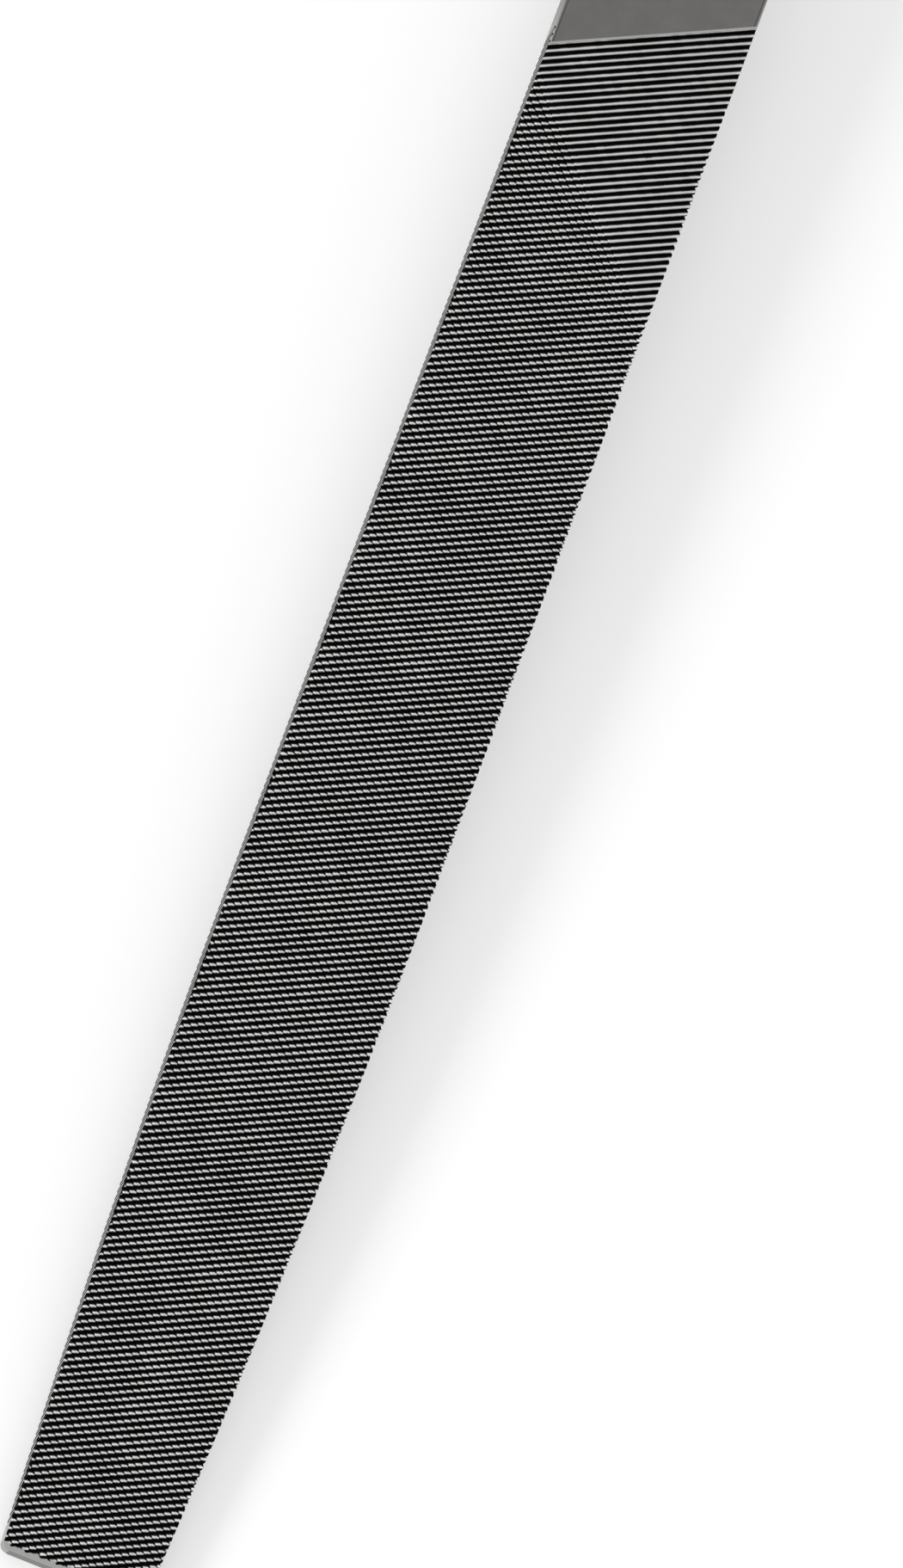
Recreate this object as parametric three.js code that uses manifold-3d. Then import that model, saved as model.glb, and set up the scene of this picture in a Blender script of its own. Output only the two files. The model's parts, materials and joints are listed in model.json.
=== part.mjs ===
// A flat file lying on a bench: a forged steel blade and tang in one piece, a turned wooden handle
// that is driven onto the tang, and a drawn steel ferrule round the handle's nose.
// Millimetres, +Z up from the bench. +X runs towards the file's point and +Y across its broad faces.
// Each piece is made on the file's own axis, with x = 0 at the heel's shoulder, and the whole tool is
// then tipped onto the handle's belly and the point's lower edge. The origin is on the bench, under
// the middle of the tool.

import * as THREE from "three";
import { mergeVertices } from "three/addons/utils/BufferGeometryUtils.js";
import Module from "manifold-3d";

const wasm = await Module();
wasm.setup();

// Blade, measured from the heel's shoulder (x = 0) to the point.
const bladeLength = 200;
const fullSectionX = 110; // where the blade is at its widest and starts to thin
const heelWidth = 21.5;
const fullWidth = 21.7;
const pointWidth = 17.1;
const bladeThickness = 4.8;
const pointThickness = 3.2;
const pointBevel = 1; // along the blade, and over the whole of each rounded corner
const pointBevelDrop = 0.5; // off each broad face
const pointCornerRadius = 1;

// Tang, from the same shoulder back into the handle.
const tangLength = 62;
const shoulderLength = 7;
const shoulderRadius = 2.2;
const tangRootWidth = 11;
const tangRootThickness = 4.3;
const tangEndWidth = 4.6;
const tangEndThickness = 2.6;
const tangEndTaper = 1.5;

// Ferrule: a tube whose front is spun in over the handle's nose.
const bareTang = 10; // tang left showing between the shoulder and the ferrule
const ferruleLength = 18;
const ferruleRadius = 9.5;
const ferruleWall = 0.9;
const ferruleCurlRadius = 2.2;

// Handle, from the ferrule's back edge to the butt.
const gripLength = 98;
const handleRadius = 14.2;
const beadRadius = 11;
const beadLength = 5;
const waistRadius = 9.8;
const buttFlatRadius = 5;
const noseChamfer = 0.8;

// Clearances.
const tangClearance = 0.3; // tang to the walls of its socket
const socketEndClearance = 1.5; // tang's end to the bottom of its socket
const ferruleClearance = 0.15; // handle's nose to the ferrule's bore
const seatClearance = 0.3; // handle's nose and shoulder to the ferrule's ends
const mouthClearance = 0.6; // tang's corners to the ferrule's mouth
const shoulderStep = 0.4; // the wood stands this much proud of the ferrule

// Facets, and how far a cutting solid runs past what it cuts.
const turnedSides = 48;
const curveSteps = 14;
const cornerSteps = 5;
const pointCornerSteps = 3;
const overshoot = 1;

const ferruleFrontX = -bareTang;
const ferruleBackX = ferruleFrontX - ferruleLength;
const noseFrontX = ferruleFrontX - ferruleWall - seatClearance;
const neckX = ferruleBackX - seatClearance;
const buttX = neckX - gripLength;

const lerp = THREE.MathUtils.lerp;

function solidFrom(geometry) {
  const bare = geometry.clone();
  bare.deleteAttribute("normal");
  bare.deleteAttribute("uv");
  const merged = mergeVertices(bare, 1e-4);
  return new wasm.Manifold(
    new wasm.Mesh({
      numProp: 3,
      vertProperties: merged.attributes.position.array,
      triVerts: new Uint32Array(merged.index.array),
    }),
  );
}

function geometryFrom(solid) {
  const mesh = solid.getMesh();
  const geometry = new THREE.BufferGeometry();
  geometry.setAttribute("position", new THREE.BufferAttribute(mesh.vertProperties, 3));
  geometry.setIndex(new THREE.BufferAttribute(mesh.triVerts, 1));
  geometry.computeVertexNormals();
  return geometry;
}

// A solid that is planOutline seen from above and sideOutline seen from the side. Both are lists of
// [x, half size] from the back end to the front end, mirrored about the file's axis.
function taperedBar(planOutline, sideOutline) {
  const slab = (outline) => {
    const there = outline.map(([x, half]) => new THREE.Vector2(x, half));
    const back = outline.map(([x, half]) => new THREE.Vector2(x, -half)).reverse();
    const widest = Math.max(...planOutline.concat(sideOutline).map(([, half]) => half)) + overshoot;
    return new THREE.ExtrudeGeometry(new THREE.Shape([...there, ...back]), {
      depth: 2 * widest,
      bevelEnabled: false,
    }).translate(0, 0, -widest);
  };
  const plan = solidFrom(slab(planOutline));
  const side = solidFrom(slab(sideOutline).rotateX(Math.PI / 2));
  return plan.intersect(side);
}

// Full size at fullSectionX, falling away as a parabola to backSize at the heel and frontSize at the point.
function bladeSize(x, backSize, fullSize, frontSize) {
  const towardsPoint = x > fullSectionX;
  const reach = towardsPoint ? bladeLength - fullSectionX : fullSectionX;
  const share = (x - fullSectionX) / reach;
  return fullSize - (fullSize - (towardsPoint ? frontSize : backSize)) * share * share;
}

const halfWidthAt = (x) => bladeSize(x, heelWidth, fullWidth, pointWidth) / 2;
const halfThicknessAt = (x) => bladeSize(x, bladeThickness, bladeThickness, pointThickness) / 2;

// Share 0 at the tang's root, where the shoulder ends, and 1 at its end.
const tangShareAt = (x) => (-x - shoulderLength) / (tangLength - shoulderLength);
const tangHalfWidthAt = (x) => lerp(tangRootWidth, tangEndWidth, tangShareAt(x)) / 2;
const tangHalfThicknessAt = (x) => lerp(tangRootThickness, tangEndThickness, tangShareAt(x)) / 2;

// Points [x, half] along a quarter round between two tangents, from start to end about corner.
function quarterRound(start, corner, end, steps = cornerSteps) {
  const toVector = ([x, half]) => new THREE.Vector2(x, half);
  const curve = new THREE.QuadraticBezierCurve(toVector(start), toVector(corner), toVector(end));
  return curve.getPoints(steps).map((p) => [p.x, p.y]);
}

function stations(from, to, sizeAt) {
  return Array.from({ length: curveSteps + 1 }, (_, i) => {
    const x = lerp(from, to, i / curveSteps);
    return [x, sizeAt(x)];
  });
}

function fileBlade() {
  const rootX = -shoulderLength;
  const heelHalf = heelWidth / 2;
  const pointHalf = pointWidth / 2;
  const plan = [
    [-tangLength, tangEndWidth / 2 - tangEndTaper / 2],
    [-tangLength + tangEndTaper, tangHalfWidthAt(-tangLength + tangEndTaper)],
    [rootX - shoulderRadius, tangHalfWidthAt(rootX - shoulderRadius)],
    ...quarterRound(
      [rootX, tangHalfWidthAt(rootX)],
      [rootX + shoulderRadius, tangHalfWidthAt(rootX)],
      [-shoulderRadius, heelHalf - shoulderRadius],
    ),
    ...quarterRound(
      [-shoulderRadius / 2, heelHalf - shoulderRadius / 2],
      [0, heelHalf],
      [shoulderRadius, halfWidthAt(shoulderRadius)],
    ),
    ...stations(shoulderRadius, fullSectionX, halfWidthAt).slice(1),
    ...stations(fullSectionX, bladeLength - pointCornerRadius, halfWidthAt).slice(1),
    ...quarterRound(
      [bladeLength - pointCornerRadius, halfWidthAt(bladeLength - pointCornerRadius)],
      [bladeLength, pointHalf],
      [bladeLength, pointHalf - pointCornerRadius],
      pointCornerSteps,
    ).slice(1),
  ];
  const side = [
    [-tangLength, tangEndThickness / 2 - tangEndTaper / 4],
    [-tangLength + tangEndTaper, tangHalfThicknessAt(-tangLength + tangEndTaper)],
    [rootX, tangRootThickness / 2],
    [0, bladeThickness / 2],
    ...stations(fullSectionX, bladeLength - pointBevel, halfThicknessAt),
    [bladeLength, pointThickness / 2 - pointBevelDrop],
  ];
  return geometryFrom(taperedBar(plan, side));
}

// The tang's own taper grown by the clearance, from in front of the nose to past the tang's end.
function tangSocket() {
  const mouthX = noseFrontX + overshoot;
  const bottomX = -tangLength - socketEndClearance;
  const grown = (sizeAt) => [
    [bottomX, sizeAt(bottomX) + tangClearance],
    [mouthX, sizeAt(mouthX) + tangClearance],
  ];
  return taperedBar(grown(tangHalfWidthAt), grown(tangHalfThicknessAt));
}

// A profile of [x, radius], running from the front to the back, turned about the file's axis with a
// facet, not an edge, facing straight down.
const halfFacet = Math.PI / turnedSides;
function turned(profile) {
  const points = profile.map(([x, radius]) => new THREE.Vector2(radius, x)).reverse();
  return new THREE.LatheGeometry(points, turnedSides, halfFacet).rotateZ(-Math.PI / 2);
}

// A bead behind the ferrule, a waist for the fingers, a swell for the palm and a rounded butt.
function handleProfile() {
  const noseRadius = ferruleRadius - ferruleWall - ferruleClearance;
  const neckRadius = ferruleRadius + shoulderStep;
  // A cubic curve rises to three quarters of the way to its two middle points.
  const beadControl = lerp(neckRadius, beadRadius, 4 / 3);
  const bead = new THREE.CubicBezierCurve(
    new THREE.Vector2(neckX, neckRadius),
    new THREE.Vector2(neckX, beadControl),
    new THREE.Vector2(neckX - beadLength, beadControl),
    new THREE.Vector2(neckX - beadLength, waistRadius),
  );
  const gripPoint = (share, radius) => new THREE.Vector2(neckX - share * gripLength, radius);
  const grip = new THREE.SplineCurve([
    gripPoint(beadLength / gripLength, waistRadius),
    gripPoint(0.13, waistRadius),
    gripPoint(0.34, lerp(waistRadius, handleRadius, 0.6)),
    gripPoint(0.6, handleRadius),
    gripPoint(0.82, lerp(buttFlatRadius, handleRadius, 0.87)),
    gripPoint(0.94, lerp(buttFlatRadius, handleRadius, 0.55)),
    gripPoint(1, buttFlatRadius),
  ]);
  return [
    [noseFrontX, 0],
    [noseFrontX, noseRadius - noseChamfer],
    [noseFrontX - noseChamfer, noseRadius],
    [neckX, noseRadius],
    ...bead.getPoints(2 * cornerSteps).map((p) => [p.x, p.y]),
    ...grip
      .getPoints(2 * curveSteps)
      .slice(1)
      .map((p) => [p.x, p.y]),
    [buttX, 0],
  ];
}

function handle() {
  return geometryFrom(solidFrom(turned(handleProfile())).subtract(tangSocket()));
}

function ferrule() {
  const boreRadius = ferruleRadius - ferruleWall;
  const lipBackX = ferruleFrontX - ferruleWall;
  const mouthRadius =
    Math.hypot(tangHalfWidthAt(ferruleFrontX), tangHalfThicknessAt(ferruleFrontX)) + mouthClearance;
  const curlRadius = Math.min(ferruleCurlRadius, ferruleRadius - mouthRadius);
  const curl = quarterRound(
    [ferruleFrontX, ferruleRadius - curlRadius],
    [ferruleFrontX, ferruleRadius],
    [ferruleFrontX - curlRadius, ferruleRadius],
  );
  const outside = [[ferruleFrontX, mouthRadius], ...curl, [ferruleBackX, ferruleRadius]];
  const inside = [
    [ferruleBackX, boreRadius],
    [lipBackX - noseChamfer, boreRadius],
    [lipBackX, boreRadius - noseChamfer],
    [lipBackX, mouthRadius],
  ];
  return geometryFrom(solidFrom(turned([...outside, ...inside, outside[0]])));
}

function part(name, geometry, look) {
  const mesh = new THREE.Mesh(geometry, new THREE.MeshStandardMaterial(look));
  mesh.name = name;
  return mesh;
}

// How far the axis dips towards the point when the tool lies on the point's lower edge and the handle.
function restTilt() {
  const edgeX = bladeLength - pointBevel;
  const edgeDrop = halfThicknessAt(edgeX);
  const dips = handleProfile().map(([x, radius]) =>
    Math.atan2(radius * Math.cos(halfFacet) - edgeDrop, edgeX - x),
  );
  return Math.max(...dips);
}

const flatFile = new THREE.Group();
flatFile.add(
  part("file_blade", fileBlade(), { color: 0x6b6a68, roughness: 0.5, metalness: 0.9 }),
  part("ferrule", ferrule(), { color: 0x9a9a98, roughness: 0.3, metalness: 1 }),
  part("handle", handle(), { color: 0xb98352, roughness: 0.45, metalness: 0 }),
);
flatFile.rotation.y = restTilt();
const reach = new THREE.Box3().setFromObject(flatFile, true);
flatFile.position.set(-(reach.min.x + reach.max.x) / 2, 0, -reach.min.z);

const root = new THREE.Group();
root.add(flatFile);

export default root;
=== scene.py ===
import json
import math

import bmesh
import bpy
from mathutils import Matrix, Vector


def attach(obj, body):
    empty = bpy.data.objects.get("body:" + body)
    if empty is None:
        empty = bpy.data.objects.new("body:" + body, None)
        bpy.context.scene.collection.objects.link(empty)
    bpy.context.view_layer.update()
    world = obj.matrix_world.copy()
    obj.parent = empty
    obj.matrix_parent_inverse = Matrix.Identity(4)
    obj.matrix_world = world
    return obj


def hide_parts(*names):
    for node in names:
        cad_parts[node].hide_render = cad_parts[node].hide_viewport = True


print("loading the frame")
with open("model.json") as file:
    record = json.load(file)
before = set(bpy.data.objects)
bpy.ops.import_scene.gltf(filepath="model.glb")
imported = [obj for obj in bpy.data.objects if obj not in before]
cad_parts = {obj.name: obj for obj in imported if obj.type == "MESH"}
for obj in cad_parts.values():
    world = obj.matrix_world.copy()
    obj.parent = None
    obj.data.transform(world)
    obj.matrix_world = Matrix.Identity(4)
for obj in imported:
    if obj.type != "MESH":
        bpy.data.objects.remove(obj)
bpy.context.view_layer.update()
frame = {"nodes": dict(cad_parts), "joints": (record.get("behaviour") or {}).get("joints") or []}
scene = bpy.context.scene
mm = 0.001

# Sizes in millimetres, on the file's own axis: x = 0 at the heel's shoulder and +x towards the point.
blade = {
    "length": 200,
    "fullSection": 110,  # widest here, and thinning from here on
    "heelWidth": 21.5,
    "fullWidth": 21.7,
    "pointWidth": 17.1,
    "thickness": 4.8,
    "pointThickness": 3.2,
    "pointBevel": 1,
    "pointBevelDrop": 0.5,
    "pointCorner": 1,
    "edgeRound": 0.16,
}

# How the steel looks. A strip's width is measured from the narrow edge, in millimetres.
steelLook = {
    "edgeStrip": 0.22,  # a painted highlight along each narrow edge
    "heelEdge": 0.35,  # how much of that painted highlight the edge keeps beside the heel
    "shadeLinePlace": 0.36,  # a painted shade line beside the highlighted strip
    "shadeLineStrength": 0.75,
    "shadeLineColour": (0.03, 0.03, 0.03, 1),
    "endFaceColour": (0.14, 0.139, 0.136, 1),
    "burrPlace": -0.12,  # in rows from the first tooth's crest
    "burrSharpness": 4.5,
    "forgedRoughness": 0.5,
    "forgedMetallic": 0.85,
    "cutRoughness": 0.42,
    "gulletRoughness": 0.3,  # added at the bottom of a gullet
}

# How the file's own axes lie in the frame: the grip slides straight back along the tang.
pullAxis = Vector(frame["joints"][0]["axis"])
dip = math.atan2(pullAxis.z, -pullAxis.x)
alongFile = Vector((math.cos(dip), 0, -math.sin(dip)))
aboveFace = Vector((math.sin(dip), 0, math.cos(dip)))
bladePoints = [v.co for v in frame["nodes"]["file_blade"].data.vertices]
pointEnd = max(p.dot(alongFile) for p in bladePoints)
faceLevels = [p.dot(aboveFace) for p in bladePoints]
midLevel = (max(faceLevels) + min(faceLevels)) / 2
shoulder = alongFile * (pointEnd - blade["length"] * mm) + aboveFace * midLevel
fileToBench = Matrix.Translation(shoulder) @ Matrix.Rotation(dip, 4, "Y") @ Matrix.Scale(mm, 4)


class Wire:
    # One output of a node, so that sums on values read as plain Python.
    def __init__(self, tree, socket):
        self.tree = tree
        self.socket = socket

    def out(self, name):
        return Wire(self.tree, self.socket.node.outputs[name])

    def maths(self, operation, *others):
        return self.tree.maths(operation, self, *others)

    def __add__(self, other):
        return self.maths("ADD", other)

    def __radd__(self, other):
        return self.maths("ADD", other)

    def __sub__(self, other):
        return self.maths("SUBTRACT", other)

    def __rsub__(self, other):
        return self.tree.maths("SUBTRACT", other, self)

    def __mul__(self, other):
        return self.maths("MULTIPLY", other)

    def __rmul__(self, other):
        return self.maths("MULTIPLY", other)

    def __truediv__(self, other):
        return self.maths("DIVIDE", other)

    def __neg__(self):
        return self.maths("MULTIPLY", -1)

    def __gt__(self, other):
        return self.maths("GREATER_THAN", other)

    def __lt__(self, other):
        return self.maths("LESS_THAN", other)

    def atLeast(self, other):
        return self.maths("MAXIMUM", other)

    def atMost(self, other):
        return self.maths("MINIMUM", other)

    def clamped(self):
        return self.atLeast(0).atMost(1)


class Tree:
    def __init__(self, nodeTree):
        self.nodes = nodeTree.nodes
        self.links = nodeTree.links
        self.nodes.clear()

    def node(self, kind, settings=None, sockets=None):
        made = self.nodes.new(kind)
        for name, value in (settings or {}).items():
            if name == "stops":
                setStops(made.color_ramp, value)
            else:
                setattr(made, name, value)
        for name, value in (sockets or {}).items():
            for one in value if isinstance(value, list) else [value]:
                if isinstance(one, Wire):
                    self.links.new(one.socket, made.inputs[name])
                else:
                    made.inputs[name].default_value = one
        return Wire(self, next((o for o in made.outputs if o.enabled), None))

    def maths(self, operation, *values):
        return self.node("ShaderNodeMath", {"operation": operation}, dict(enumerate(values)))

    def vectorOf(self, x=0.0, y=0.0, z=0.0):
        return self.node("ShaderNodeCombineXYZ", None, {"X": x, "Y": y, "Z": z})

    def parts(self, vector):
        split = self.node("ShaderNodeSeparateXYZ", None, {"Vector": vector})
        return split.out("X"), split.out("Y"), split.out("Z")

    def mixed(self, factor, a, b):
        made = self.node("ShaderNodeMix", {"data_type": "RGBA"}, {0: factor, 6: a, 7: b})
        return Wire(self, made.socket.node.outputs[2])


def setStops(ramp, stops):
    while len(ramp.elements) < len(stops):
        ramp.elements.new(0.5)
    for element, (place, colour) in zip(ramp.elements, stops):
        element.position = place
        element.color = (*colour, 1)


def geometryTree(name, inputs):
    # An empty Geometry Nodes tree with named inputs, and a wire for each.
    group = bpy.data.node_groups.new(name, "GeometryNodeTree")
    group.interface.new_socket("Geometry", in_out="INPUT", socket_type="NodeSocketGeometry")
    group.interface.new_socket("Geometry", in_out="OUTPUT", socket_type="NodeSocketGeometry")
    for label, value in inputs.items():
        kind = "NodeSocketInt" if isinstance(value, int) else "NodeSocketFloat"
        group.interface.new_socket(label, in_out="INPUT", socket_type=kind)
    tree = Tree(group)
    start = tree.node("NodeGroupInput")
    wires = {label: start.out(label) for label in ["Geometry", *inputs]}
    return group, tree, wires


def grown(obj, group, inputs):
    # Runs a tree on an object and leaves the result as its plain mesh.
    modifier = obj.modifiers.new(group.name, "NODES")
    modifier.node_group = group
    for item in group.interface.items_tree:
        if item.in_out == "INPUT" and item.name in inputs:
            modifier[item.identifier] = inputs[item.name]
    evaluated = obj.evaluated_get(bpy.context.evaluated_depsgraph_get())
    mesh = bpy.data.meshes.new_from_object(evaluated)
    obj.modifiers.remove(modifier)
    obj.data = mesh
    return obj


def meshObject(name, build):
    # build fills a bmesh in millimetres on the file's own axes.
    solid = bmesh.new()
    build(solid)
    bmesh.ops.recalc_face_normals(solid, faces=solid.faces)
    mesh = bpy.data.meshes.new(name)
    solid.to_mesh(mesh)
    solid.free()
    obj = bpy.data.objects.new(name, mesh)
    scene.collection.objects.link(obj)
    return obj


def lofted(solid, rings, ends=True):
    # Skins a list of closed rings of points, and caps both ends.
    made = [[solid.verts.new(p) for p in ring] for ring in rings]
    for one, two in zip(made, made[1:]):
        for i in range(len(one)):
            j = (i + 1) % len(one)
            solid.faces.new((one[i], one[j], two[j], two[i]))
    if ends:
        solid.faces.new(reversed(made[0]))
        solid.faces.new(made[-1])


def smoothShare(value):
    t = min(max(value, 0), 1)
    return t * t * (3 - 2 * t)


def finished(obj, body, node):
    obj.data.transform(fileToBench)
    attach(obj, body)
    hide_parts(node)
    return obj


forgedSteel = bpy.data.materials.new("forgedSteel")
cutSteel = bpy.data.materials.new("cutSteel")
ferruleSteel = bpy.data.materials.new("ferruleSteel")
turnedWood = bpy.data.materials.new("turnedWood")


def filePlace(tree):
    # Object coordinates turned back onto the file's own axes, in millimetres.
    here = tree.node("ShaderNodeTexCoord").out("Object")
    turn = {"Vector": here, "Location": shoulder, "Rotation": (0, dip, 0), "Scale": (mm, mm, mm)}
    return tree.node("ShaderNodeMapping", {"vector_type": "TEXTURE"}, turn)


def noise(tree, place, scale, detail=3.0, roughness=0.6):
    sockets = {"Vector": place, "Scale": scale, "Detail": detail, "Roughness": roughness}
    return tree.node("ShaderNodeTexNoise", {"noise_dimensions": "3D"}, sockets)


def edgeAt(x):
    # The blade's half width at x, for a wire.
    full, width = blade["fullSection"], blade["fullWidth"]
    past = ((x - full) / (blade["length"] - full)).atLeast(0)
    short = ((full - x) / full).atLeast(0)
    narrowing = past * past * (width - blade["pointWidth"]) + short * short * (width - blade["heelWidth"])
    return (width - narrowing) / 2


def faceAt(x):
    # Its half thickness at x, for a wire.
    share = ((x - blade["fullSection"]) / (blade["length"] - blade["fullSection"])).atLeast(0)
    return blade["thickness"] / 2 - share * share * ((blade["thickness"] - blade["pointThickness"]) / 2)


def finish(material, build):
    # build takes the tree and gives the Principled BSDF's sockets.
    material.use_nodes = True
    tree = Tree(material.node_tree)
    shader = tree.node("ShaderNodeBsdfPrincipled", None, build(tree))
    tree.node("ShaderNodeOutputMaterial", None, {"Surface": shader})


def forged(tree):
    place = filePlace(tree)
    x, y, z = tree.parts(place)
    blotch = noise(tree, place, 0.35, 4.0, 0.65)
    grit = noise(tree, place, 9.0, 3.0, 0.7)
    scale = noise(tree, place, 0.16, 5.0, 0.6)
    tangShare = ((x + 1.0) * -0.16).clamped()
    mottled = (blotch - 0.5) * 0.28 + (grit - 0.5) * 0.3 + 0.5
    heelColour = tree.node("ShaderNodeValToRGB", {"stops": [
        (0.2, (0.102, 0.1, 0.0965)), (0.5, (0.147, 0.1445, 0.139)), (0.8, (0.197, 0.1935, 0.1865)),
    ]}, {"Fac": mottled})
    tangColour = tree.node("ShaderNodeValToRGB", {"stops": [
        (0.3, (0.035, 0.032, 0.03)), (0.55, (0.075, 0.066, 0.058)), (0.75, (0.13, 0.115, 0.1)),
    ]}, {"Fac": scale * 0.7 + grit * 0.3})
    # The narrow edges are painted bright, a painted highlight along each arris. The point's bevel is lighter
    # and its end face darker, and the first cut throws up a bright burr.
    inward = edgeAt(x) - y.maths("ABSOLUTE")
    pastShoulder = ((x - 1.5) * 0.5).clamped()
    heelEdge = steelLook["heelEdge"]
    edgeHighlight = ((steelLook["edgeStrip"] - inward) * 9).clamped() * pastShoulder
    edgeHighlight = edgeHighlight * (((x - teeth["firstTooth"]) / 6).clamped() * (1 - heelEdge) + heelEdge)
    endShare = ((x - (blade["length"] - blade["pointBevel"])) * 8).clamped()
    edgeHighlightAndPoint = edgeHighlight.atLeast(endShare)
    angle, pitch = teeth["upcutAngle"], teeth["upcutPitch"]
    row = (x * math.sin(angle) + y * math.cos(angle)) / pitch
    firstRow = math.floor(teeth["firstTooth"] * math.sin(angle) / pitch)
    apart = (row - (firstRow + steelLook["burrPlace"])).maths("ABSOLUTE")
    burr = (1 - apart * steelLook["burrSharpness"]).clamped()
    bumpHeight = grit * 0.5 + blotch
    bump = tree.node("ShaderNodeBump", None, {"Strength": 0.25, "Distance": 0.00008, "Height": bumpHeight})
    edgeHighlightColour = tree.mixed(grit, (0.36, 0.358, 0.352, 1), (0.52, 0.517, 0.508, 1))
    bevelColour = tree.mixed(grit, (0.27, 0.268, 0.264, 1), (0.42, 0.418, 0.41, 1))
    endFace = ((x - (blade["length"] - 0.06)) * 30).clamped()
    endColour = tree.mixed(endFace, bevelColour, steelLook["endFaceColour"])
    # A painted shade line runs beside the painted highlight of each narrow edge.
    edgeShadeLine = (1 - (inward - steelLook["shadeLinePlace"]).maths("ABSOLUTE") * 9).clamped() * pastShoulder
    colour = tree.mixed(tangShare, heelColour, tangColour)
    colour = tree.mixed(edgeShadeLine * steelLook["shadeLineStrength"], colour, steelLook["shadeLineColour"])
    colour = tree.mixed(edgeHighlight.atLeast(burr), colour, edgeHighlightColour)
    colour = tree.mixed(endShare, colour, endColour)
    return {
        "Base Color": colour,
        "Roughness": (grit - 0.5) * 0.25 + steelLook["forgedRoughness"] + tangShare * 0.1 - edgeHighlightAndPoint * 0.1,
        "Metallic": steelLook["forgedMetallic"],
        "Normal": bump,
    }


def cut(tree):
    place = filePlace(tree)
    x, y, z = tree.parts(place)
    depth = faceAt(x) - z.maths("ABSOLUTE")
    grit = noise(tree, place, 6.0, 2.0, 0.6)
    wear = noise(tree, place, 0.12, 3.0, 0.6)
    # The cut steel is painted from bright on the crests to near black in the gullets; the black is painted
    # shade where the gullets lie in shadow.
    level = (depth / teeth["upcutDepth"] + (grit - 0.5) * 0.12 + (wear - 0.5) * 0.12).clamped()
    singleCut = tree.node("ShaderNodeValToRGB", {"stops": [
        (0.0, (0.78, 0.777, 0.769)), (0.31, (0.72, 0.717, 0.71)),
        (0.48, (0.1, 0.1, 0.098)), (0.66, (0.005, 0.005, 0.005)),
    ]}, {"Fac": level})
    crossCut = tree.node("ShaderNodeValToRGB", {"stops": [
        (0.0, (0.98, 0.976, 0.966)), (0.33, (0.94, 0.936, 0.926)),
        (0.5, (0.14, 0.14, 0.138)), (0.68, (0.005, 0.005, 0.005)),
    ]}, {"Fac": level})
    # Where the overcut crosses the rows, the crests are painted lighter than in the single cut, a painted
    # highlight that offsets the shade on the twisted teeth.
    angle, pitch, heelEdge = teeth["overcutAngle"], teeth["overcutPitch"], blade["heelWidth"] / 2
    cutLine = (y * z.maths("SIGN") * math.cos(angle) - x * math.sin(angle)) / pitch
    leftStart = teeth["firstTooth"] + heelEdge / math.tan(teeth["upcutAngle"]) + teeth["overcutStart"]
    firstLine = -(leftStart * math.sin(angle) + heelEdge * math.cos(angle)) / pitch
    crossed = ((firstLine - cutLine) / 3).clamped()
    return {
        "Base Color": tree.mixed(crossed, singleCut, crossCut),
        "Roughness": level * steelLook["gulletRoughness"] + steelLook["cutRoughness"],
        "Metallic": 1.0,
    }


print("shaping the blade")

tang = {
    "length": 62,
    "shoulder": 7.2,
    "shoulderReach": 2.2,  # how far into the blade the slope of the shoulders runs
    "rootWidth": 11,
    "rootThickness": 4.3,
    "endWidth": 4.6,
    "endThickness": 2.6,
    "endTaper": 1.5,
    "endThinning": 0.75,
    "edgeRound": 0.8,
}

teeth = {
    "firstTooth": 12.0,  # from the shoulder, on the middle line
    "pointMargin": 0.5,
    "upcutPitch": 0.824,
    "upcutAngle": math.radians(63.5),
    "upcutDepth": 0.36,
    "upcutGullet": 0.34,  # share of the pitch from a crest to the bottom in front of it
    "overcutPitch": 0.776,
    "overcutAngle": math.radians(44.3),
    "overcutDepth": 0.16,
    "overcutLand": 0.45,  # share of the pitch left flat between overcuts
    "toothSkew": 0.12,  # each overcut twists its teeth by this share of the upcut pitch
    "overcutStart": 2.4,  # further along the left edge than the first tooth
    "edgePitch": 0.88,
    "edgeDepth": 0.23,
    "edgeSlant": math.radians(20),
    "crestDrop": 0.012,
    "unevenness": 0.03,
}


def halfWidth(x):
    full = blade["fullSection"]
    narrow, span = (blade["pointWidth"], blade["length"] - full) if x > full else (blade["heelWidth"], full)
    share = (x - full) / span
    return (blade["fullWidth"] - (blade["fullWidth"] - narrow) * share * share) / 2


def halfThickness(x):
    share = max(x - blade["fullSection"], 0) / (blade["length"] - blade["fullSection"])
    return (blade["thickness"] - (blade["thickness"] - blade["pointThickness"]) * share * share) / 2


def between(a, b, share):
    return a + (b - a) * share


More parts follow.
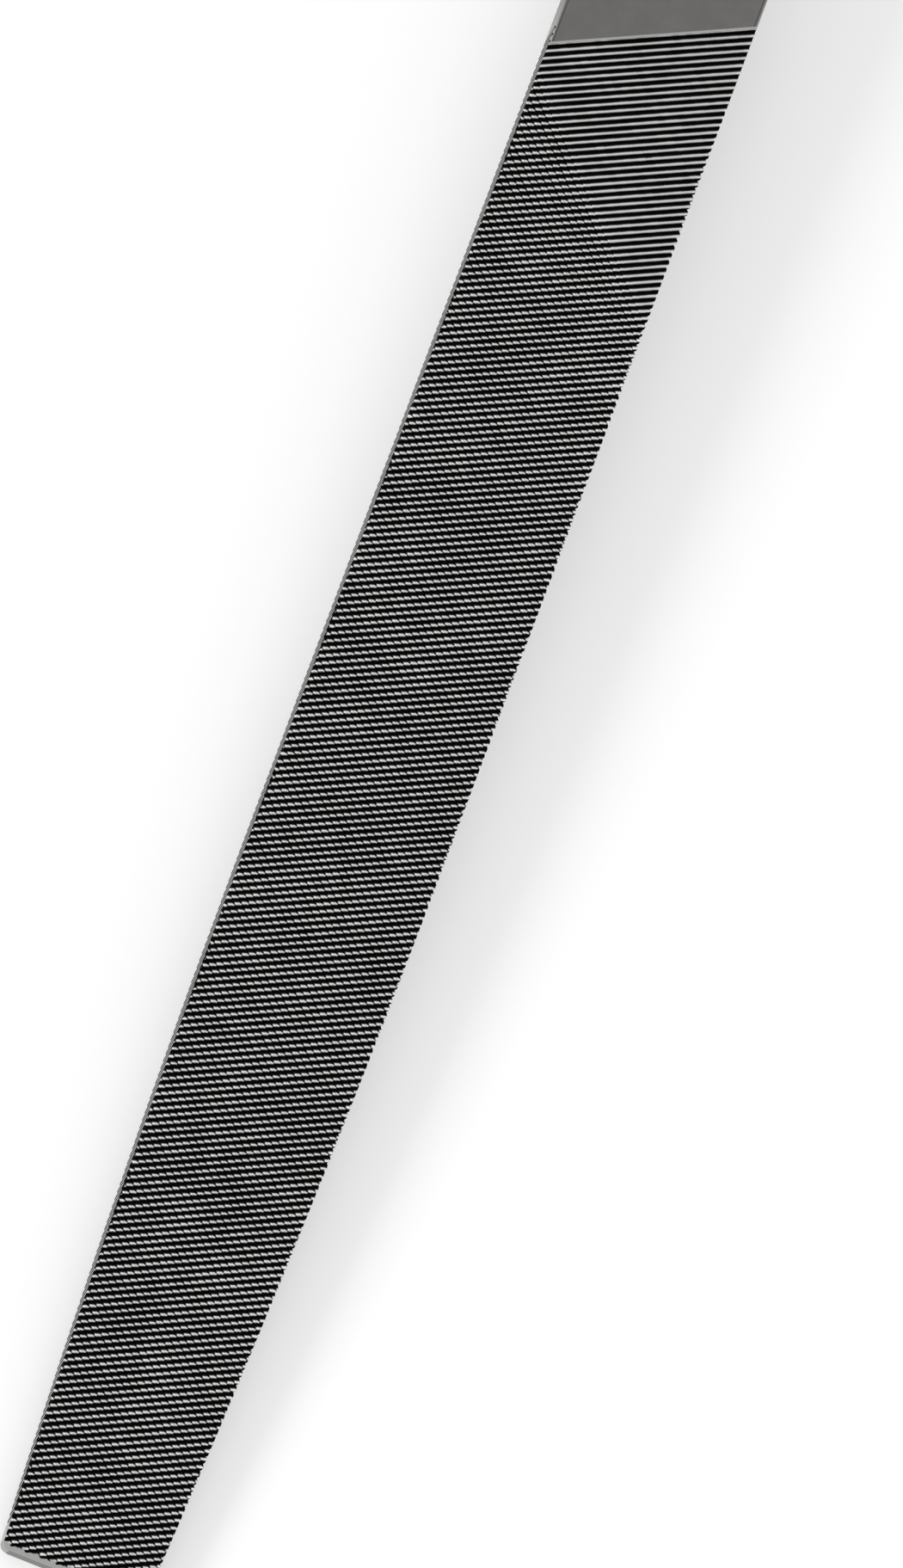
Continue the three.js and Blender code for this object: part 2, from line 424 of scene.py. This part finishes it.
def bladeSection(x):
    # Half width, half thickness and edge round at x.
    if x < tang["shoulderReach"]:
        along = min(max((-x - tang["shoulder"]) / (tang["length"] - tang["shoulder"]), -0.2), 1)
        end = smoothShare((x + tang["length"]) / tang["endTaper"])
        tangWidth = between(tang["rootWidth"], tang["endWidth"], along) / 2
        tangWidth -= tang["endTaper"] / 2 * (1 - end)
        tangThickness = between(tang["rootThickness"], tang["endThickness"], along) / 2
        tangThickness *= between(tang["endThinning"], 1, end)
        share = smoothShare((x + tang["shoulder"]) / (tang["shoulder"] + tang["shoulderReach"]))
        thickening = smoothShare((x + tang["shoulder"]) / tang["shoulder"])
        return (
            between(tangWidth, halfWidth(tang["shoulderReach"]), share),
            between(tangThickness, blade["thickness"] / 2, thickening),
            between(tang["edgeRound"], blade["edgeRound"], share),
        )
    width, thickness, edge = halfWidth(x), halfThickness(x), blade["edgeRound"]
    pastCorner = x - (blade["length"] - blade["pointCorner"])
    if pastCorner > 0:
        width -= blade["pointCorner"] - math.sqrt(max(blade["pointCorner"] ** 2 - pastCorner**2, 0))
    pastBevel = max(x - (blade["length"] - blade["pointBevel"]), 0) / blade["pointBevel"]
    return width, thickness - blade["pointBevelDrop"] * pastBevel, edge


def roundedSection(x, width, thickness, edge, steps=3):
    ring = []
    for quarter, (side, rise) in enumerate(((1, 1), (-1, 1), (-1, -1), (1, -1))):
        for i in range(steps + 1):
            turn = math.pi / 2 * (quarter + i / steps)
            y = side * (width - edge) + edge * math.cos(turn)
            z = rise * (thickness - edge) + edge * math.sin(turn)
            ring.append(Vector((x, y, z)))
    return ring


def blankBlade(solid):
    length, corner = blade["length"], blade["pointCorner"]
    stations = [-tang["length"] + d for d in (0, 0.4, 0.8, 1.2, 1.6)]
    stations += [between(stations[-1] + 3, -tang["shoulder"] - 1, i / 14) for i in range(15)]
    stations += [between(-tang["shoulder"], tang["shoulderReach"], i / 14) for i in range(15)]
    stations += [between(5, length - corner - 1, i / 60) for i in range(61)]
    stations += [length - corner * math.cos(math.pi / 2 * i / 9) for i in range(10)]
    stations += [length - blade["pointBevel"]]
    stations = sorted(set(round(x, 4) for x in stations))
    lofted(solid, [roundedSection(x, *bladeSection(x)) for x in stations])


def toothTree():
    # Cuts both faces and both edges of the blank it is given.
    sizes = dict(teeth)
    rowsX = math.sin(teeth["upcutAngle"]) / teeth["upcutPitch"]
    rowsY = math.cos(teeth["upcutAngle"]) / teeth["upcutPitch"]
    cutsX = -math.sin(teeth["overcutAngle"]) / teeth["overcutPitch"]
    cutsY = math.cos(teeth["overcutAngle"]) / teeth["overcutPitch"]
    reachY = blade["fullWidth"] / 2 + 2
    sizes["firstRow"] = math.floor(teeth["firstTooth"] * rowsX)
    sizes["rows"] = math.ceil(blade["length"] * rowsX + reachY * rowsY) - sizes["firstRow"]
    sizes["firstCut"] = math.floor((blade["length"] + 2) * cutsX - reachY * cutsY)
    sizes["cuts"] = math.ceil(reachY * cutsY) - sizes["firstCut"]
    group, tree, size = geometryTree("fileTeeth", sizes)

    rowX = size["upcutAngle"].maths("SINE") / size["upcutPitch"]
    rowY = size["upcutAngle"].maths("COSINE") / size["upcutPitch"]
    cutX = -(size["overcutAngle"].maths("SINE") / size["overcutPitch"])
    cutY = size["overcutAngle"].maths("COSINE") / size["overcutPitch"]

    grid = tree.node("GeometryNodeMeshGrid", None, {
        "Size X": size["rows"], "Size Y": size["cuts"],
        "Vertices X": size["rows"] * 2 + 1, "Vertices Y": size["cuts"] * 3 + 1,
    })
    gridX, gridY, _ = tree.parts(tree.node("GeometryNodeInputPosition"))
    rowStep = ((gridX + size["rows"] / 2) * 2).maths("ROUND")
    row = (rowStep / 2).maths("FLOOR")
    gullet = rowStep - row * 2
    cutStep = ((gridY + size["cuts"] / 2) * 3).maths("ROUND")
    cutRow = ((cutStep + 0.5) / 3).maths("FLOOR")
    cutPart = cutStep - cutRow * 3
    notch = (cutPart - 1).atLeast(0)
    land = size["overcutLand"]
    straightU = row + size["firstRow"] + gullet * size["upcutGullet"]
    v = cutRow + size["firstCut"] + cutPart.atMost(1) * land + notch * ((1 - land) / 2)
    across = rowX * cutY - rowY * cutX
    leftStart = size["firstTooth"] + (blade["heelWidth"] / 2) * (rowY / rowX) + size["overcutStart"]
    cutLimit = leftStart * cutX - cutY * (blade["heelWidth"] / 2)
    begun = ((cutLimit - v) / 3).clamped()
    twist = (cutPart.atMost(1) - 0.5 - notch * 0.5) * (1 - gullet) * begun * size["toothSkew"]
    u = straightU + twist
    x = (cutY * u - rowY * v) / across
    y = (rowX * v - cutX * u) / across

    uneven = tree.node("FunctionNodeRandomValue", {"data_type": "FLOAT"}, {
        2: 0.0, 3: size["unevenness"], "ID": row * 1000 + cutRow, "Seed": 4,
    })
    firmness = 0.35 + ((x - y * 2 + 10) / 60).clamped() * 0.65
    overcut = notch * size["overcutDepth"] * (begun * firmness)
    depth = (gullet * size["upcutDepth"]).atLeast(overcut) + uneven + size["crestDrop"]
    inside = x < blade["length"] - size["pointMargin"]
    above = 0.3  # the cutting sheet passes over what it leaves whole
    z = faceAt(x) - (inside * (depth + above) - above)
    cutting = {"Geometry": grid, "Position": tree.vectorOf(x, y, z)}
    placed = tree.node("GeometryNodeSetPosition", None, cutting)
    placedX, placedY, _ = tree.parts(tree.node("GeometryNodeInputPosition"))
    outside = (placedY.maths("ABSOLUTE") > reachY - 0.5) + (placedX > blade["length"] + 1)
    sheet = tree.node("GeometryNodeDeleteGeometry", {"domain": "FACE"}, {
        "Geometry": placed, "Selection": outside > 0.5,
    })
    lid = tree.node("GeometryNodeExtrudeMesh", {"mode": "FACES"}, {
        "Mesh": sheet, "Offset": (0, 0, 1), "Offset Scale": 3.0, "Individual": False,
    })
    underside = tree.node("GeometryNodeFlipFaces", None, {"Mesh": sheet})
    closed = tree.node("GeometryNodeJoinGeometry", None, {"Geometry": [lid, underside]})
    upper = tree.node("GeometryNodeMergeByDistance", None, {"Geometry": closed, "Distance": 0.0001})
    upper = tree.node("GeometryNodeSetMaterial", None, {"Geometry": upper, "Material": cutSteel})
    lower = tree.node("GeometryNodeTransform", None, {"Geometry": upper, "Rotation": (math.pi, 0, 0)})

    notches = int((blade["length"] - teeth["firstTooth"] - 6) / teeth["edgePitch"])
    line = tree.node("GeometryNodeMeshLine", None, {
        "Count": notches,
        "Start Location": tree.vectorOf(size["firstTooth"] + 4, 0, 0),
        "Offset": tree.vectorOf(size["edgePitch"], 0, 0),
    })
    lineX, _, _ = tree.parts(tree.node("GeometryNodeInputPosition"))
    wedge = tree.node("GeometryNodeMeshCylinder", None, {
        "Vertices": 4, "Radius": size["edgeDepth"], "Depth": blade["thickness"] + 2,
    })
    edges = []
    for side in (1, -1):
        onEdge = tree.vectorOf(lineX, edgeAt(lineX) * side, 0)
        rim = tree.node("GeometryNodeSetPosition", None, {"Geometry": line, "Position": onEdge})
        grooves = tree.node("GeometryNodeInstanceOnPoints", None, {
            "Points": rim, "Instance": wedge, "Rotation": tree.vectorOf(0, size["edgeSlant"] * side, 0),
        })
        grooves = tree.node("GeometryNodeRealizeInstances", None, {"Geometry": grooves})
        grooves = tree.node("GeometryNodeSetMaterial", None, {"Geometry": grooves, "Material": cutSteel})
        edges.append(grooves)
    toothed = tree.node("GeometryNodeMeshBoolean", {"operation": "DIFFERENCE", "solver": "MANIFOLD"}, {
        "Mesh 1": size["Geometry"], "Mesh 2": [upper, lower, *edges],
    })
    toothed = tree.node("GeometryNodeRealizeInstances", None, {"Geometry": toothed})
    cutFaces = tree.node("GeometryNodeMaterialSelection", None, {"Material": cutSteel})
    toothed = tree.node("GeometryNodeSetMaterial", None, {
        "Geometry": toothed, "Selection": 1 - cutFaces, "Material": forgedSteel,
    })
    tree.node("NodeGroupOutput", None, {"Geometry": toothed})
    return group, sizes


fileBlade = meshObject("toothedBlade", blankBlade)
fileBlade.data.materials.append(forgedSteel)
fileBlade.data.materials.append(cutSteel)
finish(forgedSteel, forged)
finish(cutSteel, cut)
print("cutting the teeth")
fileBlade = grown(fileBlade, *toothTree())
print("  ", len(fileBlade.data.polygons), "faces", [m.name for m in fileBlade.data.materials])
finished(fileBlade, "blade", "file_blade")

print("spinning the ferrule")

ferrule = {
    "front": -10,
    "length": 18,
    "radius": 9.5,
    "wall": 0.9,
    "curl": 2.2,  # how far the front is spun in over the wood
    "mouth": 6.5,
    "lip": 0.3,  # the rounding of both ends
    "innerCurl": 1.3,
    "dentTurns": (0.08, 0.58),  # punch marks that hold it to the wood, in turns round it
    "dentDepth": 0.4,
    "dentRadius": 1.15,
    "dentBack": 3.6,  # from the back edge
}
frameSides = 48
facetShare = math.cos(math.pi / frameSides)  # the tool lies on the middle of a facet of the frame's own handle
turnedSegments = 128


def lathed(solid, profile, segments, closed):
    # Turns (x, radius) points round the x axis. An open profile ends on the axis at both ends.
    rings = []
    for x, radius in profile:
        if radius < 1e-6:
            rings.append([solid.verts.new((x, 0, 0))])
            continue
        turns = [2 * math.pi * i / segments for i in range(segments)]
        rings.append([solid.verts.new((x, radius * math.sin(t), radius * math.cos(t))) for t in turns])
    pairs = list(zip(rings, rings[1:] + rings[:1])) if closed else list(zip(rings, rings[1:]))
    for one, two in pairs:
        for i in range(segments):
            j = (i + 1) % segments
            corners = [one[i % len(one)], one[j % len(one)], two[j % len(two)], two[i % len(two)]]
            solid.faces.new(list(dict.fromkeys(corners)))


def arc(middle, radius, first, last, steps):
    turns = [math.radians(between(first, last, i / steps)) for i in range(steps + 1)]
    return [(middle[0] + radius * math.cos(t), middle[1] + radius * math.sin(t)) for t in turns]


def ferruleShell(solid):
    front, back = ferrule["front"], ferrule["front"] - ferrule["length"]
    outer = ferrule["radius"] * facetShare
    wall, curl, lip, mouth = ferrule["wall"], ferrule["curl"], ferrule["lip"], ferrule["mouth"]
    bore = ferrule["radius"] - wall
    profile = arc((front - lip, mouth + lip), lip, -90, 0, 5)
    profile += arc((front - curl, outer - curl), curl, 0, 90, 12)
    tubeStart, tubeEnd = front - curl, back + lip
    profile += [(between(tubeStart, tubeEnd, i / 40), outer) for i in range(1, 40)]
    profile += arc((back + lip, outer - lip), lip, 90, 180, 5)
    profile += [(back, bore + 0.1), (back + 0.1, bore)]
    inside, inner = front - wall, ferrule["innerCurl"]
    profile += [(inside - inner, bore)]
    profile += arc((inside - inner, bore - inner), inner, 80, 10, 6)
    profile += [(inside, bore - 1.4), (inside, mouth + 0.15), (inside + 0.15, mouth)]
    lathed(solid, profile, turnedSegments, True)
    for turn in ferrule["dentTurns"]:
        angle = 2 * math.pi * turn
        middle = Vector((back + ferrule["dentBack"], outer * math.sin(angle), outer * math.cos(angle)))
        for vert in solid.verts:
            apart = (vert.co - middle).length / ferrule["dentRadius"]
            if apart < 1.6:
                sunk = math.exp(-3 * apart * apart) * ferrule["dentDepth"]
                vert.co -= Vector((0, vert.co.y, vert.co.z)).normalized() * sunk


steelFerrule = meshObject("spunFerrule", ferruleShell)
steelFerrule.data.materials.append(ferruleSteel)

print("turning the handle")

handle = {
    "front": -11.2,
    "neck": -28.3,
    "grip": 98,
    "radius": 14.2,
    "neckRadius": 9.9,
    "noseRadius": 8.45,
    "noseChamfer": 0.8,
    "beadRadius": 11,
    "beadLength": 5,
    "waistRadius": 9.8,
    "buttRadius": 5,
    "socketGap": 0.3,
    "socketSpare": 1.5,
}


def turnedProfile():
    neck, beadLength = handle["neck"], handle["beadLength"]
    radius, butt, waist = handle["radius"], handle["buttRadius"], handle["waistRadius"]
    neckRadius = handle["neckRadius"]
    swell = between(neckRadius, handle["beadRadius"], 4 / 3)
    controls = [(neck, neckRadius), (neck, swell), (neck - beadLength, swell), (neck - beadLength, waist)]
    bead = []
    for i in range(25):
        t = i / 24
        shares = ((1 - t) ** 3, 3 * t * (1 - t) ** 2, 3 * t * t * (1 - t), t**3)
        bead.append(tuple(sum(s * point[axis] for s, point in zip(shares, controls)) for axis in (0, 1)))
    marks = [
        (beadLength / handle["grip"], waist), (0.13, waist),
        (0.34, between(waist, radius, 0.6)), (0.6, radius),
        (0.82, between(butt, radius, 0.87)), (0.94, between(butt, radius, 0.55)), (1, butt),
    ]
    points = [(neck - share * handle["grip"], size) for share, size in marks]
    grip = []
    for i in range(1, 97):
        at = i / 96 * (len(points) - 1)
        k = min(int(at), len(points) - 2)
        t = at - k
        around = [points[min(max(k + step, 0), len(points) - 1)] for step in (-1, 0, 1, 2)]
        here = []
        for axis in (0, 1):
            before, a, b, after = (p[axis] for p in around)
            pull, push = (b - before) / 2, (after - a) / 2
            square, cube = 3 * (b - a) - 2 * pull - push, 2 * (a - b) + pull + push
            here.append(a + pull * t + square * t * t + cube * t**3)
        grip.append(tuple(here))
    front, nose, chamfer = handle["front"], handle["noseRadius"], handle["noseChamfer"]
    profile = [(front, 0), (front, nose * 0.5), (front, nose - chamfer)]
    profile += [(front - chamfer, nose), (between(front, neck, 0.5), nose), (neck, nose)]
    profile += bead + grip
    profile += [(grip[-1][0], butt * 0.5), (grip[-1][0], 0)]
    return [(x, r * facetShare) for x, r in profile]


def socketCutter(solid):
    # The burnt-in seat of the tang, a little wider than the tang all round.
    gap, rings = handle["socketGap"], []
    for x in (handle["front"] + 2, -20, -30, -40, -50, -tang["length"] - handle["socketSpare"]):
        width, thickness, _ = bladeSection(max(x, -tang["length"] + tang["endTaper"]))
        rings.append(roundedSection(x, width + gap, thickness + gap, 0.5))
    lofted(solid, rings)


def bored(obj, cutter):
    # Takes the cutter's shape out of obj, and the cutter away.
    modifier = obj.modifiers.new("bore", "BOOLEAN")
    modifier.operation = "DIFFERENCE"
    modifier.solver = "EXACT"
    modifier.object = cutter
    evaluated = obj.evaluated_get(bpy.context.evaluated_depsgraph_get())
    mesh = bpy.data.meshes.new_from_object(evaluated)
    obj.modifiers.remove(modifier)
    obj.data = mesh
    bpy.data.objects.remove(cutter)


woodHandle = meshObject("turnedHandle", lambda solid: lathed(solid, turnedProfile(), turnedSegments, False))
woodHandle.data.materials.append(turnedWood)
bored(woodHandle, meshObject("socketCutter", socketCutter))
for piece, sharpest in ((steelFerrule, 30), (woodHandle, 35)):
    piece.data.shade_smooth()
    piece.data.set_sharp_from_angle(angle=math.radians(sharpest))


def brushed(tree):
    place = filePlace(tree)
    x, y, z = tree.parts(place)
    rings = noise(tree, tree.vectorOf(x * 9.0, y * 0.12, z * 0.12), 1.0, 4.0, 0.75)
    cloud = noise(tree, place, 0.22, 4.0, 0.6)
    speck = noise(tree, place, 2.4, 3.0, 0.7)
    scuffed = ((speck - 0.6) * 7).clamped()
    level = (rings - 0.5) * 0.9 + (cloud - 0.5) * 0.5 + 0.5
    colour = tree.node("ShaderNodeValToRGB", {"stops": [
        (0.1, (0.25, 0.248, 0.243)), (0.5, (0.4, 0.397, 0.389)), (0.9, (0.53, 0.527, 0.517)),
    ]}, {"Fac": level})
    bump = tree.node("ShaderNodeBump", None, {"Strength": 0.3, "Distance": 0.00003, "Height": rings})
    return {
        "Base Color": tree.mixed(scuffed * 0.4, colour, (0.2, 0.195, 0.185, 1)),
        "Roughness": 0.3 + (rings - 0.5) * 0.2 + scuffed * 0.15,
        "Metallic": 0.95,
        "Normal": bump,
    }


finish(ferruleSteel, brushed)

grain = {
    "pith": (-34, 9),  # y and z of the tree's middle
    "ringPitch": 2.3,
    "poreLength": 14,
}


def lacqueredWood(tree):
    place = filePlace(tree)
    x, y, z = tree.parts(place)
    sway = noise(tree, tree.vectorOf(x * 0.012, y * 0.05, z * 0.05), 1.0, 2.0, 0.5)
    fibre = noise(tree, tree.vectorOf(x * 0.06, y * 1.6, z * 1.6), 1.0, 4.0, 0.65)
    pores = noise(tree, tree.vectorOf(x / grain["poreLength"], y * 3.4, z * 3.4), 1.0, 2.0, 0.5)
    tone = noise(tree, tree.vectorOf(x * 0.01, y * 0.07, z * 0.07), 1.0, 2.0, 0.5)
    fromY = y - grain["pith"][0] + (sway - 0.5) * 9
    fromZ = z - grain["pith"][1] + (sway - 0.5) * 5
    rings = (fromY * fromY + fromZ * fromZ).maths("SQRT") / grain["ringPitch"] + (fibre - 0.5) * 0.35
    late = rings.maths("FRACT")
    lateWood = late * late * late * (1 - ((late - 0.9) * 10).clamped())
    pored = ((pores - 0.62) * 9).clamped()
    level = 0.42 + (fibre - 0.5) * 0.5 - lateWood * 0.34 + (tone - 0.5) * 0.4
    colour = tree.node("ShaderNodeValToRGB", {"stops": [
        (0.0, (0.2, 0.078, 0.022)), (0.3, (0.36, 0.165, 0.056)),
        (0.55, (0.52, 0.275, 0.108)), (0.85, (0.62, 0.365, 0.165)),
    ]}, {"Fac": level})
    colour = tree.mixed(pored * 0.55, colour, (0.13, 0.048, 0.015, 1))
    # The tang was burnt in, so the wood darkens round the mouth of its seat.
    burnt = ((x + 11.25) * 2.5 + 1).clamped() * (1 - ((y.maths("ABSOLUTE") - 5.2) * 0.45).clamped())
    grime = noise(tree, place, 0.09, 4.0, 0.6)
    handled = ((grime - 0.56) * 5).clamped() * 0.22
    colour = tree.mixed(handled, colour, (0.16, 0.075, 0.03, 1))
    height = fibre * 0.35 - pored
    bump = tree.node("ShaderNodeBump", None, {"Strength": 0.25, "Distance": 0.00008, "Height": height})
    return {
        "Base Color": tree.mixed(burnt * 0.85, colour, (0.02, 0.011, 0.007, 1)),
        "Roughness": 0.42 + (fibre - 0.5) * 0.16 + handled * 0.3,
        "Coat Weight": 0.45,
        "Coat Roughness": 0.3,
        "Normal": bump,
    }


finish(turnedWood, lacqueredWood)
finished(steelFerrule, "grip", "ferrule")
finished(woodHandle, "grip", "handle")

print("setting the bench, the lights and the camera")

studio = {
    "floorSize": 6.0,
    "floorColour": (0.62, 0.62, 0.62),
    "floorGlow": 0.37,
    "worldStrength": 0.78,
    "keyStrength": 2.1,
    "keySpread": 18,  # degrees across, so that the shadow's edge is soft
    "keyPlace": (0.62, -0.78, 0.42),  # the way the light comes from
    "fillPower": 1.2,
    "fillSize": 1.6,
    "fillPlace": (0.5, 1.0, 1.0),
    "lookAt": (100.7, 8.4, 2.4),  # on the file's own axis
    "swing": 12,  # degrees that the camera stands towards the point
    "roll": 6,  # and towards the left edge
    "distance": 2.44,
    "lens": 500,
    "alongUp": (-0.9372, -0.3487),
}


def backdropShare(tree):
    # 1 for the rays that see the white backdrop, and 0 for those that only bring light.
    path = tree.node("ShaderNodeLightPath")
    return path.out("Is Camera Ray").atLeast(path.out("Is Glossy Ray")).atLeast(path.out("Is Transmission Ray"))


def benchFloor():
    solid = bmesh.new()
    half = studio["floorSize"] / 2
    corners = ((-half, -half), (half, -half), (half, half), (-half, half))
    solid.faces.new([solid.verts.new((x, y, 0)) for x, y in corners])
    mesh = bpy.data.meshes.new("benchTop")
    solid.to_mesh(mesh)
    solid.free()
    floor = bpy.data.objects.new("benchTop", mesh)
    scene.collection.objects.link(floor)
    material = bpy.data.materials.new("paleBench")
    material.use_nodes = True
    tree = Tree(material.node_tree)
    matt = tree.node("ShaderNodeBsdfDiffuse", None, {"Color": (*studio["floorColour"], 1)})
    glow = tree.node("ShaderNodeEmission", None, {"Strength": backdropShare(tree) * studio["floorGlow"]})
    both = tree.node("ShaderNodeAddShader", None, {0: matt, 1: glow})
    tree.node("ShaderNodeOutputMaterial", None, {"Surface": both})
    mesh.materials.append(material)


def softWorld():
    world = bpy.data.worlds.new("softStudio")
    world.use_nodes = True
    tree = Tree(world.node_tree)
    plain = (1, 1, 1, 1)
    soft = tree.node("ShaderNodeBackground", None, {"Color": plain, "Strength": studio["worldStrength"]})
    white = tree.node("ShaderNodeBackground", None, {"Color": plain, "Strength": 1.0})
    sky = tree.node("ShaderNodeMixShader", None, {0: backdropShare(tree), 1: soft, 2: white})
    tree.node("ShaderNodeOutputWorld", None, {"Surface": sky})
    scene.world = world


def slantingLight(place, strength, spread):
    lamp = bpy.data.lights.new("keyLight", "SUN")
    lamp.energy = strength
    lamp.angle = math.radians(spread)
    obj = bpy.data.objects.new("keyLight", lamp)
    obj.visible_glossy = False  # it shapes the shadow, and the sky alone shines in the steel
    obj.location = place
    obj.rotation_euler = (-Vector(place)).to_track_quat("-Z", "Y").to_euler()
    scene.collection.objects.link(obj)


def softBox(name, place, power, size):
    lamp = bpy.data.lights.new(name, "AREA")
    lamp.shape = "SQUARE"
    lamp.size = size
    lamp.energy = power
    obj = bpy.data.objects.new(name, lamp)
    obj.location = place
    obj.rotation_euler = (-Vector(place)).to_track_quat("-Z", "Y").to_euler()
    scene.collection.objects.link(obj)


def lookDown():
    turned = fileToBench.to_3x3().normalized()
    swing, roll = math.radians(studio["swing"]), math.radians(studio["roll"])
    toward = Vector((math.tan(swing), -math.tan(roll), 1)).normalized()
    upward = Vector((*studio["alongUp"], 0))
    upward = (upward - toward * upward.dot(toward)).normalized()
    right = upward.cross(toward)
    camera = bpy.data.objects.new("camera", bpy.data.cameras.new("camera"))
    camera.data.lens = studio["lens"]
    camera.data.clip_start = 0.05
    axes = Matrix([turned @ right, turned @ upward, turned @ toward]).transposed().to_4x4()
    place = fileToBench @ Vector(studio["lookAt"]) + turned @ toward * studio["distance"]
    camera.matrix_world = Matrix.Translation(place) @ axes
    scene.collection.objects.link(camera)
    scene.camera = camera


benchFloor()
softWorld()
slantingLight(studio["keyPlace"], studio["keyStrength"], studio["keySpread"])
softBox("fillLight", studio["fillPlace"], studio["fillPower"], studio["fillSize"])
lookDown()
scene.view_settings.view_transform = "Standard"
